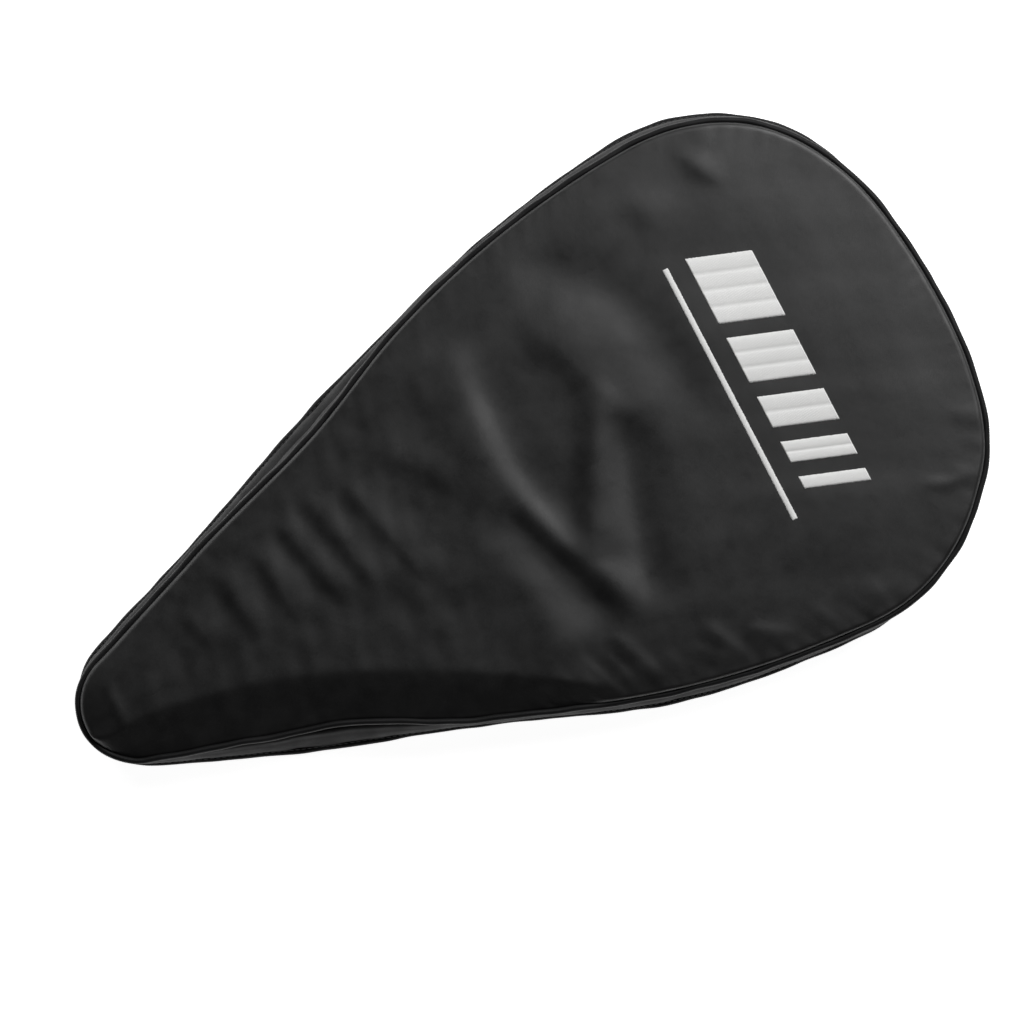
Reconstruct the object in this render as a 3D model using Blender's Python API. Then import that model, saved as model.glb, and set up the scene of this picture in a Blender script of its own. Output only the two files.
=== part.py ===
"""Padded racket case: a teardrop clamshell cover that lies on its back.

The base is a back panel with a standing side wall (the gusset). The lid is the front panel. A zip
under the front piping runs round the head, the lower flank and the tip. The upper flank has no zip:
there the cloth spine joins lid and base, and the lid swings about it.

Every piece follows one outline of tangent arcs. A place on the case is given in millimetres by
`run`, the way along the outline from the tip (the upper flank first, then the head, then the lower
flank), `inset`, how far inside the outline it is, and `z`, its height. The origin is under the middle
of the case, +X points from the tip to the head and +Z points up.
"""
import math

import bmesh
import bpy
from mathutils import Vector

MM = 0.001

# Overall size and outline, in millimetres
LENGTH = 500.0
WIDTH = 286.8
TIP_RADIUS = 34.5
SHOULDER_RADIUS = 490.0
SHOULDER_END = math.radians(92.3)
CORNER_RADIUS = 105.0
CORNER_AT = 391.0

# Heights
BACK_SEAM_Z = 4.0
FRONT_SEAM_Z = 38.5
ZIP_Z = 31.5
CROWN_Z = 51.7

# Radial build-up of the wall
PIPING_RADIUS = 1.75
WALL_INSET = 2.6
TEETH_INSET = 4.4
TAPE_INSET = 6.3
PANEL_INSET = 3.9
CLOTH = 0.9
GAP = 0.3

# Where things stand along the outline
HINGE_FROM = 58.0
HINGE_TO = 280.0
TAB_TO = 302.0
BASE_TEETH_FROM = 309.0
SLIDER_AT = 318.0
SLIDER_LENGTH = 12.0
LID_TEETH_FROM = 327.0
ZIP_RUN_ON = 44.0          # the zip passes the tip by this much
STOP_LENGTH = 3.0

# The side wall leans in towards the front panel: (run, lean in mm) for each flank from the tip
UPPER_LEAN = ((0, 0), (60, 2.0), (115, 2.5), (205, 6.5), (270, 3.0), (425, 3.0), (500, 0.5), (640, 0))
LOWER_LEAN = ((0, 0), (50, 2.5), (95, 5.5), (145, 9.0), (215, 2.5), (400, 2.0), (470, 0), (640, 0))

# The front panel's dome: shares of the way from its rim to the middle line
DOME_SHARES = (0.0, 0.05, 0.13, 0.25, 0.42)
DOME_POWER = 2.6
SPINE_FROM = 40.0
SPINE_TO = 400.0

# Emblem: slanted bars in a row, with a thin rule beside them
EMBLEM_AT = 390.0
EMBLEM_DEPTH = 33.0
EMBLEM_HALF = 73.0
EMBLEM_SLANT = 12.0
EMBLEM_THICKNESS = 0.4
BAR_WIDTHS = (38.0, 26.0, 18.0, 12.0, 7.0)
RULE_AT = 377.0
RULE_WIDTH = 3.0

BLACK = (0.018, 0.018, 0.019)
DARK_GREY = (0.035, 0.035, 0.036)
SILVER = (0.68, 0.68, 0.67)


def direction(angle):
    """Unit vector in the XY plane."""
    return Vector((math.cos(angle), math.sin(angle)))


def arc(centre, radius, start, end):
    """A clockwise arc as (length, function from the way along it to point and outward normal)."""
    def at(way):
        outward = direction(start - way / radius)
        return centre + outward * radius, outward
    return (start - end) * radius, at


def line(start, end, outward):
    """A straight run in the same form as an arc."""
    length = (end - start).length

    def at(way):
        return start.lerp(end, way / length), outward
    return length, at


def half_outline():
    """The upper half, tip to head, as tangent runs with the number of steps each one takes."""
    tip = Vector((TIP_RADIUS, 0))
    corner = Vector((CORNER_AT, WIDTH / 2 - CORNER_RADIUS))
    shoulder = corner - direction(SHOULDER_END) * (SHOULDER_RADIUS - CORNER_RADIUS)
    reach = LENGTH - CORNER_AT
    end_radius = (reach ** 2 + corner.y ** 2 - CORNER_RADIUS ** 2) / (2 * (reach - CORNER_RADIUS))
    end = Vector((LENGTH - end_radius, 0))
    across = shoulder - tip
    flank = math.atan2(across.y, across.x)
    flank += math.acos((TIP_RADIUS - SHOULDER_RADIUS) / across.length)
    outward = direction(flank)
    end_angle = math.atan2(corner.y - end.y, corner.x - end.x)
    return (
        (arc(tip, TIP_RADIUS, math.pi, flank), 6),
        (line(tip + outward * TIP_RADIUS, shoulder + outward * SHOULDER_RADIUS, outward), 6),
        (arc(shoulder, SHOULDER_RADIUS, flank, SHOULDER_END), 6),
        (arc(corner, CORNER_RADIUS, SHOULDER_END, end_angle), 8),
        (arc(end, end_radius, end_angle, 0), 2),
    )


RUNS = half_outline()
HALF = sum(run[0] for run, steps in RUNS)
ZIP_END = 2 * HALF + ZIP_RUN_ON


def outline(run):
    """Point and outward normal of the outline at `run`."""
    run %= 2 * HALF
    mirrored = run > HALF
    way = 2 * HALF - run if mirrored else run
    for (length, at), steps in RUNS:
        if way <= length or at is RUNS[-1][0][1]:
            break
        way -= length
    point, outward = at(way)
    if mirrored:
        point, outward = Vector((point.x, -point.y)), Vector((outward.x, -outward.y))
    return point, outward


def lean(run):
    """How far the top of the wall leans in at `run`."""
    run %= 2 * HALF
    knots = UPPER_LEAN
    if run > HALF:
        run, knots = 2 * HALF - run, LOWER_LEAN
    for (start, low), (end, high) in zip(knots, knots[1:]):
        if run <= end:
            break
    share = (run - start) / (end - start)
    return low + (high - low) * share * share * (3 - 2 * share)


def place(run, inset, z):
    """A point on the case, in metres."""
    point, outward = outline(run)
    rise = (z - BACK_SEAM_Z) / (FRONT_SEAM_Z - BACK_SEAM_Z)
    point = point - outward * (inset + lean(run) * min(max(rise, 0), 1))
    return Vector((point.x - LENGTH / 2, point.y, z)) * MM


def stations(start=0.0, end=None):
    """The runs at which a piece has a section, from `start` to `end` or all the way round."""
    way, steps_along = 0.0, []
    for (length, at), steps in RUNS:
        steps_along += [way + length * step / steps for step in range(steps)]
        way += length
    marks = [HINGE_FROM, HINGE_TO, TAB_TO, BASE_TEETH_FROM, LID_TEETH_FROM, ZIP_RUN_ON]
    marks = [mark for mark in marks if min(abs(mark - step) for step in steps_along) > 2]
    lap = sorted(steps_along + marks + [2 * HALF - step for step in steps_along[1:]] + [HALF])
    if end is None:
        return lap
    laps = lap + [step + 2 * HALF for step in lap]
    return [start] + [step for step in laps if start + 1.5 < step < end - 1.5] + [end]


def material(name, colour, roughness, metallic=0.0):
    """A plain finish for a piece."""
    finish = bpy.data.materials.new(name)
    finish.use_nodes = True
    shader = finish.node_tree.nodes["Principled BSDF"]
    shader.inputs["Base Color"].default_value = (*colour, 1)
    shader.inputs["Roughness"].default_value = roughness
    shader.inputs["Metallic"].default_value = metallic
    return finish


def add(name, mesh, finish, origin=None, smooth=False):
    """Turn a bmesh into a named object whose origin is at `origin`."""
    bmesh.ops.recalc_face_normals(mesh, faces=mesh.faces)
    if origin:
        bmesh.ops.translate(mesh, verts=mesh.verts, vec=-origin)
    data = bpy.data.meshes.new(name)
    mesh.to_mesh(data)
    mesh.free()
    if smooth:
        data.shade_smooth()
        data.set_sharp_from_angle(angle=math.radians(40))
    piece = bpy.data.objects.new(name, data)
    piece.location = origin or (0, 0, 0)
    data.materials.append(material(name, *finish))
    bpy.context.collection.objects.link(piece)
    return piece


def bridge(mesh, loop, other):
    """Join two equal loops of vertices with triangles whose diagonals all rise the same way."""
    for index, corner in enumerate(loop):
        after = (index + 1) % len(loop)
        if corner.co.z <= loop[after].co.z:
            mesh.faces.new((corner, loop[after], other[after]))
            mesh.faces.new((corner, other[after], other[index]))
        else:
            mesh.faces.new((corner, loop[after], other[index]))
            mesh.faces.new((loop[after], other[after], other[index]))


def band(name, section, finish, span=None, origin=None, smooth=False):
    """A section of (inset, z) corners swept round the case, or along `span` of it.

    `section` may be a function of the run.
    """
    mesh = bmesh.new()
    loops = []
    for run in stations(*(span or ())):
        corners = section(run) if callable(section) else section
        loops.append([mesh.verts.new(place(run, inset, z)) for inset, z in corners])
    for loop, other in zip(loops, loops[1:]):
        bridge(mesh, loop, other)
    if span:
        mesh.faces.new(loops[0])
        mesh.faces.new(loops[-1])
    else:
        bridge(mesh, loops[-1], loops[0])
    return add(name, mesh, finish, origin, smooth)


def strip(inset, thickness, low, high):
    """An upright rectangular section."""
    return (inset, low), (inset + thickness, low), (inset + thickness, high), (inset, high)


def cord_section(inset, z, radius, sides=6):
    """A round section."""
    turns = [2 * math.pi * (side + 0.5) / sides for side in range(sides)]
    return [(inset + radius * math.cos(turn), z + radius * math.sin(turn)) for turn in turns]


def panel(name, inset, under, over, finish):
    """A closed panel. `under` and `over` are (share, z) rings, from the rim towards the middle."""
    mesh = bmesh.new()
    loops = []
    for share, z in tuple(reversed(under)) + tuple(over):
        loop = []
        for run in stations():
            rim = place(run, inset, z)
            along = SPINE_FROM + (SPINE_TO - SPINE_FROM) * (rim.x / MM / LENGTH + 0.5)
            middle = Vector(((along - LENGTH / 2) * MM, 0, z * MM))
            loop.append(mesh.verts.new(rim.lerp(middle, share)))
        loops.append(loop)
    for loop, other in zip(loops, loops[1:]):
        bridge(mesh, loop, other)
    mesh.faces.new(loops[0])
    mesh.faces.new(loops[-1])
    return add(name, mesh, finish, smooth=True)


def dome(rim, top):
    """Rings of a dome that rises from `rim` to the flat at `top`."""
    rings = []
    for share in DOME_SHARES:
        left = 1 - share / DOME_SHARES[-1]
        rings.append((share, rim + (top - rim) * (1 - left ** DOME_POWER)))
    return rings


def make_back():
    """The back panel's layers and the seam that joins it to the wall."""
    panel("back_shell", PANEL_INSET, ((0, 1.9), (0.1, 0)), ((0, 2.9), (0.1, 1.0)), (BLACK, 0.6))
    panel("back_padding", 8.1, ((0, 3.2), (0.1, 1.3)), ((0, 5.3),), (DARK_GREY, 0.9))
    panel("back_lining", 8.1, ((0, 5.6),), ((0, 6.2),), (DARK_GREY, 0.7))
    piping = cord_section(PIPING_RADIUS, BACK_SEAM_Z, PIPING_RADIUS)
    band("back_piping", piping, (BLACK, 0.5), smooth=True)
    band("back_seam_binding", strip(8.5, CLOTH, 6.5, 12.0), (BLACK, 0.7))


def wall_section(run):
    """The outer cloth of the wall: lower along the hinge, lipped in to the zip tape elsewhere."""
    hinged = HINGE_FROM - 1 < run < HINGE_TO + 1
    top = 21.5 if hinged else 25.5
    lip = 0.2 if hinged else 2.6
    outer, inner = WALL_INSET, WALL_INSET + CLOTH
    return ((outer, 6.1), (inner, 6.1), (inner, top - 1.2), (inner + lip, top - CLOTH / 2),
            (inner + lip, top + CLOTH / 2), (outer, top - 0.6))


def make_wall():
    """The side wall's layers and the base's half of the zip."""
    band("gusset_shell", wall_section, (BLACK, 0.5))
    band("gusset_padding", strip(WALL_INSET + CLOTH + 2 * GAP, 1.9, 6.6, 20.0), (DARK_GREY, 0.9))
    band("gusset_lining", strip(7.4, 0.6, 6.5, 27.5), (DARK_GREY, 0.7))
    zipped = (TAB_TO, ZIP_END)
    toothed = (BASE_TEETH_FROM, ZIP_END)
    band("base_zip_tape", strip(TAPE_INSET, 0.6, 20.0, ZIP_Z - 1.1), (BLACK, 0.7), zipped)
    band("base_zip_teeth", strip(TEETH_INSET, 1.6, ZIP_Z - 2.9, ZIP_Z - 0.6), (BLACK, 0.4), toothed)
    stop = strip(TEETH_INSET, 1.6, ZIP_Z - 3.1, ZIP_Z - 0.4)
    closed = (BASE_TEETH_FROM - 2 - STOP_LENGTH, BASE_TEETH_FROM - 2)
    opened = (ZIP_END + 1, ZIP_END + 1 + STOP_LENGTH)
    band("zip_stop_closed", stop, (DARK_GREY, 0.35, 0.8), closed)
    band("zip_stop_open", stop, (DARK_GREY, 0.35, 0.8), opened)
    tab = strip(TEETH_INSET - 0.4, CLOTH, 26.6, ZIP_Z - 0.3)
    band("zip_tab_shoulder", tab, (BLACK, 0.6), (HINGE_TO + 2, TAB_TO))
    band("zip_tab_tip", tab, (BLACK, 0.6), (opened[1] + 1 - 2 * HALF, HINGE_FROM - 2))


def make_hinge():
    """The unzipped stretch: outer and inner cloth that join lid and base."""
    spine = (HINGE_FROM, HINGE_TO)
    outer = strip(WALL_INSET, CLOTH, 22.4, FRONT_SEAM_Z - PIPING_RADIUS - 0.4)
    band("spine_strip", outer, (BLACK, 0.5), spine)
    band("spine_lining", strip(7.4, 0.6, 27.9, 33.6), (DARK_GREY, 0.7), spine)


def make_lid():
    """The front panel's layers and the lid's half of the zip."""
    panel("front_shell", PANEL_INSET, dome(38.2, CROWN_Z - 1), dome(39.4, CROWN_Z), (BLACK, 0.45))
    panel("front_padding", 6.2, dome(38.0, CROWN_Z - 5.4), dome(38.9, CROWN_Z - 1.4),
          (DARK_GREY, 0.9))
    panel("front_lining", 8.6, dome(37.8, CROWN_Z - 6.5), dome(38.3, CROWN_Z - 5.9),
          (DARK_GREY, 0.7))
    piping = cord_section(PIPING_RADIUS, FRONT_SEAM_Z, PIPING_RADIUS)
    band("front_piping", piping, (BLACK, 0.5), smooth=True)
    zipped = (LID_TEETH_FROM, ZIP_END)
    band("front_zip_tape", strip(TAPE_INSET, 0.6, ZIP_Z + 1.1, 37.6), (BLACK, 0.7), zipped)
    band("front_zip_teeth", strip(TEETH_INSET, 1.6, ZIP_Z + 0.6, ZIP_Z + 2.9), (BLACK, 0.4), zipped)
    band("front_seam_binding", strip(7.4, 0.8, 34.0, 37.5), (BLACK, 0.7))


def emblem_piece(name, near, far, low, high, slant):
    """A flat four-sided patch on the front panel, leaning by `slant` from its near to its far edge."""
    mesh = bmesh.new()
    ground = CROWN_Z + GAP
    corners = ((near, low), (near, high), (far, high - slant), (far, low - slant))
    foot = [mesh.verts.new(Vector((x - LENGTH / 2, y, ground)) * MM) for x, y in corners]
    base = mesh.faces.new(foot)
    raised = bmesh.ops.extrude_face_region(mesh, geom=[base])
    tops = [item for item in raised["geom"] if isinstance(item, bmesh.types.BMVert)]
    bmesh.ops.translate(mesh, verts=tops, vec=(0, 0, EMBLEM_THICKNESS * MM))
    add(name, mesh, (SILVER, 0.45))


def make_emblem():
    """Slanted bars that narrow across the panel, and a thin rule beside them."""
    spare = 2 * EMBLEM_HALF - EMBLEM_SLANT - sum(BAR_WIDTHS)
    space = spare / (len(BAR_WIDTHS) - 1)
    top = EMBLEM_HALF
    for number, width in enumerate(BAR_WIDTHS, 1):
        emblem_piece(f"emblem_bar_{number}", EMBLEM_AT, EMBLEM_AT + EMBLEM_DEPTH, top - width, top,
                     EMBLEM_SLANT)
        top -= width + space
    emblem_piece("emblem_rule", RULE_AT, RULE_AT + RULE_WIDTH, -EMBLEM_HALF, EMBLEM_HALF, 0)


# The slider's plates pass outside the teeth and inside the tape
SLIDER_HEIGHT = 6.2
OUTER_PLATE = (2.9, 4.0)
INNER_PLATE = (7.25, 8.15)
WEB_HALF = 0.3
BAR_INSET = 1.3
BAR_RADIUS = 0.45
BAR_HALF = 2.9
EYE_RADIUS = 1.25
EYE_HOLE = 0.8
PULL_LENGTH = 26.0
PULL_THICKNESS = 1.1
GRIP_LENGTH = 15.0


def slider_section():
    """Two plates joined by a thin web that runs between the rows of teeth."""
    low, high = ZIP_Z - SLIDER_HEIGHT / 2, ZIP_Z + SLIDER_HEIGHT / 2
    inner_high = ZIP_Z + 2.1
    return ((OUTER_PLATE[0], low), (OUTER_PLATE[1], low), (OUTER_PLATE[1], ZIP_Z - WEB_HALF),
            (INNER_PLATE[0], ZIP_Z - WEB_HALF), (INNER_PLATE[0], low + 0.4),
            (INNER_PLATE[1], low + 0.4), (INNER_PLATE[1], inner_high),
            (INNER_PLATE[0], inner_high), (INNER_PLATE[0], ZIP_Z + WEB_HALF),
            (OUTER_PLATE[1], ZIP_Z + WEB_HALF), (OUTER_PLATE[1], high), (OUTER_PLATE[0], high))


def cylinder(centre, radius, depth, sides):
    """An upright cylinder in its own bmesh-made mesh object, for joining and cutting."""
    mesh = bmesh.new()
    bmesh.ops.create_cone(mesh, cap_ends=True, segments=sides, radius1=radius * MM,
                          radius2=radius * MM, depth=depth * MM)
    bmesh.ops.translate(mesh, verts=mesh.verts, vec=centre)
    return mesh


def block(centre, along, across, size):
    """A box of `size` (along, across, up) in millimetres, turned in plan."""
    mesh = bmesh.new()
    bmesh.ops.create_cube(mesh, size=MM)
    for corner in mesh.verts:
        x, y, z = (co * side for co, side in zip(corner.co, size))
        corner.co = centre + Vector((*(along * x + across * y), z))
    return mesh


def combine(piece, mesh, operation, origin):
    """Join `mesh` to `piece`, or cut it away, with a Boolean whose tool stays hidden."""
    tool = add(f"{piece.name}_{operation.lower()}_{len(piece.modifiers)}", mesh, (BLACK, 0.5), origin)
    tool.hide_render = True
    tool.display_type = "WIRE"
    modifier = piece.modifiers.new(operation.title(), "BOOLEAN")
    modifier.operation = operation
    modifier.solver = "EXACT"
    modifier.object = tool


def make_slider():
    """The slider with its bridge, and the pull that turns on the bridge's upright bar."""
    pivot = place(SLIDER_AT, BAR_INSET, ZIP_Z)
    outward = outline(SLIDER_AT)[1]
    along = Vector((outward.y, -outward.x))
    half = SLIDER_LENGTH / 2
    metal = (DARK_GREY, 0.35, 0.85)
    slider = band("zip_slider", slider_section(), metal, (SLIDER_AT - half, SLIDER_AT + half), pivot)
    combine(slider, cylinder(pivot, BAR_RADIUS, 2 * BAR_HALF, 12), "UNION", pivot)
    reach = OUTER_PLATE[0] - BAR_INSET + 0.6
    for side in (-1, 1):
        foot = pivot + Vector((*(outward * (BAR_RADIUS - reach / 2) * MM), side * 2.55 * MM))
        combine(slider, block(foot, along, outward, (1.6, reach, 0.9)), "UNION", pivot)

    tab = cylinder(pivot, EYE_RADIUS, 3.0, 16)
    pull = add("pull_tab", tab, metal, pivot, smooth=True)
    blade = pivot + Vector((*along, 0)) * (PULL_LENGTH / 2 + 0.7) * MM
    combine(pull, block(blade, along, outward, (PULL_LENGTH - 0.4, PULL_THICKNESS, 3.0)), "UNION", pivot)
    combine(pull, cylinder(pivot, EYE_HOLE, 6.0, 16), "DIFFERENCE", pivot)
    grip_at = pivot + Vector((*along, 0)) * (PULL_LENGTH - GRIP_LENGTH / 2 + 2.0) * MM
    grip = add("pull_grip", block(grip_at, along, outward, (GRIP_LENGTH, 3.0, 5.2)),
               (BLACK, 0.6), pivot)
    slot = block(blade, along, outward, (PULL_LENGTH + 0.2, PULL_THICKNESS + 0.6, 3.6))
    combine(grip, slot, "DIFFERENCE", pivot)


for old in list(bpy.data.objects):
    bpy.data.objects.remove(old, do_unlink=True)
make_back()
make_wall()
make_hinge()
make_lid()
make_emblem()
make_slider()
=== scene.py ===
"""The padded racket case as it looks: creased satin nylon over foam, corded piping, a coil zip under
the front piping, cloth linings and a raised silver emblem.

Sizes are in millimetres along the same outline as the CAD part: `run` is the way along the outline
from the tip (upper flank, head, lower flank), `inset` how far inside it, `z` the height. `u` is the way
from the tip along the case and `v` the way across, towards the hinged flank.
"""
import math

import bmesh
import bpy
import numpy as np
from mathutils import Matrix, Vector
from mathutils.bvhtree import BVHTree


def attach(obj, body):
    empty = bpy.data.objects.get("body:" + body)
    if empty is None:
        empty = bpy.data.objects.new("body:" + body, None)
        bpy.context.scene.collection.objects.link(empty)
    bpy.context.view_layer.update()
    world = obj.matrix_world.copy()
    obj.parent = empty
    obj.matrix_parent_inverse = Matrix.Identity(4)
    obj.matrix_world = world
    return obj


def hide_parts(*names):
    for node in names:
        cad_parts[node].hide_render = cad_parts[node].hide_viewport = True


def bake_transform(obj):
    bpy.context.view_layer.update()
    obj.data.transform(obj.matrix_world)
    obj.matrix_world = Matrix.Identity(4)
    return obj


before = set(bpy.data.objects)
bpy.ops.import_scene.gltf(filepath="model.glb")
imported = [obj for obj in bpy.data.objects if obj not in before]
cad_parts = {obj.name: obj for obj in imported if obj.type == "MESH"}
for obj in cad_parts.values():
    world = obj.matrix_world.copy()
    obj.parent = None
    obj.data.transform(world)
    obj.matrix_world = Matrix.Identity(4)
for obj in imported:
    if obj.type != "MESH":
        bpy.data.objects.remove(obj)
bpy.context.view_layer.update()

MM = 0.001
LENGTH = 500.0
WIDTH = 286.8
TIP_RADIUS = 34.5
SHOULDER_RADIUS = 490.0
SHOULDER_END = math.radians(92.3)
CORNER_RADIUS = 105.0
CORNER_AT = 391.0

BACK_SEAM_Z = 4.0
SWELL_TOP = 20.0
FRONT_SEAM_Z = 38.5
ZIP_Z = 31.5
PIPING_RADIUS = 1.75
WALL_INSET = 2.6
TEETH_INSET = 4.4
TAPE_INSET = 6.3
HINGE_FROM = 58.0
HINGE_TO = 280.0
HINGE_MIDDLE = 170.0
CLOTH_THICKNESS = 0.7
TAB_TO = 302.0
BASE_TEETH_FROM = 309.0
SLIDER_AT = 318.0
LID_TEETH_FROM = 327.0
ZIP_RUN_ON = 44.0
# How far the wall's top leans in, and how far the cloth swells out at its foot, on either flank, as
# (run from the tip, mm). The swell is evened out over SWELL_BLUR either way.
UPPER_LEAN = ((0, 0), (60, 2.0), (115, 2.5), (205, 6.5), (270, 3.0), (425, 3.0), (500, 0.5), (548, 1.8),
              (590, 0.8), (640, 0))
LOWER_LEAN = ((0, 0), (50, 2.5), (95, 5.5), (145, 9.0), (215, 2.5), (400, 2.0), (470, 0.6), (515, 0.5),
              (545, -1.3), (590, -1.4), (640, 0))
UPPER_SWELL = ((0, 0.2), (28, 0.2), (46, 2.6), (75, 2.0), (105, 1.0), (146, 1.4), (190, 2.4), (225, 2.3),
               (255, 0.3), (275, -0.8), (316, -0.5), (377, 0.2), (420, 2.0), (460, 2.8), (492, 2.4),
               (517, 2.8), (545, 0.3), (581, -2.6), (620, 0), (640, 0))
LOWER_SWELL = ((0, 0.1), (26, -0.8), (60, 1.6), (103, 2.8), (135, 3.5), (168, 1.9), (200, 0.4), (245, 0.3),
               (275, 1.2), (300, 2.8), (336, 2.9), (377, 1.4), (418, 1.0), (455, -0.9), (492, -2.0),
               (517, -1.1), (548, 1.6), (581, 2.1), (620, 0.4), (640, 0))
SWELL_BLUR = 12.0
# The middle line of the panels' rings, from the tip
SPINE_FROM = 40.0
SPINE_TO = 400.0

EMBLEM_AT = 390.0
EMBLEM_DEPTH = 33.0
EMBLEM_HALF = 73.0
EMBLEM_SLANT = 12.0
BAR_WIDTHS = (38.0, 26.0, 18.0, 12.0, 7.0)
RULE_AT = 377.0
RULE_WIDTH = 3.0

OUTER_PLATE = (2.9, 4.0)
INNER_PLATE = (7.25, 8.15)
BAR_INSET = 1.3


# ---------------------------------------------------------------- outline

def unit(angle):
    """Unit vectors for an array of angles."""
    return np.stack((np.cos(angle), np.sin(angle)), -1)


def arc(centre, radius, start, end):
    """A clockwise arc as (length, function from the way along it to point and outward normal)."""
    def at(way):
        outward = unit(start - way / radius)
        return centre + outward * radius, outward
    return (start - end) * radius, at


def line(start, end, outward):
    """A straight run in the same form as an arc."""
    length = float(np.hypot(*(end - start)))

    def at(way):
        return start + (end - start) * (way / length)[..., None], np.broadcast_to(outward, way.shape + (2,))
    return length, at


def half_outline():
    """The upper half of the outline, from the tip to the head end, as tangent runs."""
    tip = np.array((TIP_RADIUS, 0.0))
    corner = np.array((CORNER_AT, WIDTH / 2 - CORNER_RADIUS))
    shoulder = corner - unit(SHOULDER_END) * (SHOULDER_RADIUS - CORNER_RADIUS)
    reach = LENGTH - CORNER_AT
    end_radius = (reach ** 2 + corner[1] ** 2 - CORNER_RADIUS ** 2) / (2 * (reach - CORNER_RADIUS))
    end = np.array((LENGTH - end_radius, 0.0))
    across = shoulder - tip
    flank = math.atan2(across[1], across[0])
    flank += math.acos((TIP_RADIUS - SHOULDER_RADIUS) / math.hypot(*across))
    outward = unit(flank)
    end_angle = math.atan2(corner[1] - end[1], corner[0] - end[0])
    return (
        arc(tip, TIP_RADIUS, math.pi, flank),
        line(tip + outward * TIP_RADIUS, shoulder + outward * SHOULDER_RADIUS, outward),
        arc(shoulder, SHOULDER_RADIUS, flank, SHOULDER_END),
        arc(corner, CORNER_RADIUS, SHOULDER_END, end_angle),
        arc(end, end_radius, end_angle, 0.0),
    )


RUNS = half_outline()
HALF = sum(length for length, at in RUNS)
LAP = 2 * HALF
ZIP_END = LAP + ZIP_RUN_ON


def rim(run):
    """Points and outward normals of the outline, in millimetres from the tip."""
    run = np.mod(np.asarray(run, float), LAP)
    lower = run > HALF
    way = np.where(lower, LAP - run, run)
    point, outward = np.zeros(way.shape + (2,)), np.zeros(way.shape + (2,))
    start = 0.0
    for length, at in RUNS:
        inside = way >= start - 1e-9
        found = at(way[inside] - start)
        point[inside], outward[inside] = found
        start += length
    flip = np.where(lower, -1.0, 1.0)
    point[..., 1] *= flip
    outward[..., 1] *= flip
    return point, outward


def smooth(share):
    """From 0 to 1 with soft ends."""
    return share * share * (3 - 2 * share)


def eased(x, knots):
    """Knots joined by smooth steps."""
    places, values = np.array(knots, float).T
    index = np.clip(np.searchsorted(places, x, side="right") - 1, 0, len(places) - 2)
    share = np.clip((x - places[index]) / (places[index + 1] - places[index]), 0, 1)
    return values[index] + (values[index + 1] - values[index]) * smooth(share)


def lean(run):
    """How far the wall leans in at its top."""
    run = np.mod(run, LAP)
    return np.where(run > HALF, eased(LAP - run, LOWER_LEAN), eased(run, UPPER_LEAN))


def swell(run):
    """How far the cloth stands proud of the case's even outline at the foot of the wall."""
    run = np.mod(run, LAP)
    offsets = np.linspace(-SWELL_BLUR, SWELL_BLUR, 7)
    total = 0
    for offset in offsets:
        way = np.abs(np.where(run > HALF, LAP - run, run) + offset)
        upper, lower = (np.interp(way, *np.array(knots, float).T) for knots in (UPPER_SWELL, LOWER_SWELL))
        total = total + np.where(run > HALF, lower, upper)
    return total / len(offsets)


def wall(run, inset, z):
    """Points of the case, in metres, for arrays that broadcast together."""
    run, inset, z = np.broadcast_arrays(np.asarray(run, float), inset, z)
    point, outward = rim(run)
    rise = np.clip((z - BACK_SEAM_Z) / (FRONT_SEAM_Z - BACK_SEAM_Z), 0, 1)
    foot = np.clip((SWELL_TOP - z) / (SWELL_TOP - BACK_SEAM_Z), 0, 1)
    inward = inset + lean(run) * rise - swell(run) * foot
    plan = point - outward * inward[..., None]
    return np.concatenate((plan - (LENGTH / 2, 0), z[..., None]), -1) * MM


def gathers(run, length, seed):
    """How strongly the seam pulls the cloth into small gathers along it, from 0 to 1.4."""
    return np.clip(ring_waves(run, length, seed) * 0.5 + 0.3, 0, 1.4)


def lap_of(step, start=0.0, end=None):
    """Evenly spaced runs: the whole lap, or from `start` to `end`."""
    if end is None:
        return np.linspace(0, LAP, round(LAP / step), endpoint=False)
    return np.linspace(start, end, max(2, round((end - start) / step) + 1))


def waves(x, y, length, seed, count=9):
    """Smooth irregular noise of about unit height, from a few sine waves."""
    draw = np.random.default_rng(seed)
    total = np.zeros(np.broadcast(x, y).shape)
    for turn, phase, stretch in zip(draw.uniform(0, math.pi, count), draw.uniform(0, 7, count),
                                    draw.uniform(0.6, 1.6, count)):
        way = x * math.cos(turn) + y * math.sin(turn)
        total += np.sin(way * (2 * math.pi / (length * stretch)) + phase)
    return total / math.sqrt(count)


def ring_waves(run, length, seed, count=7):
    """The same along the outline, matching up after a lap."""
    draw = np.random.default_rng(seed)
    total = np.zeros(np.shape(run))
    for share, phase in zip(draw.uniform(0.6, 1.7, count), draw.uniform(0, 7, count)):
        total += np.sin(2 * math.pi * round(LAP / (length * share)) * run / LAP + phase)
    return total / math.sqrt(count)


# ---------------------------------------------------------------- meshes

WELD_DISTANCE = 2e-5


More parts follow.
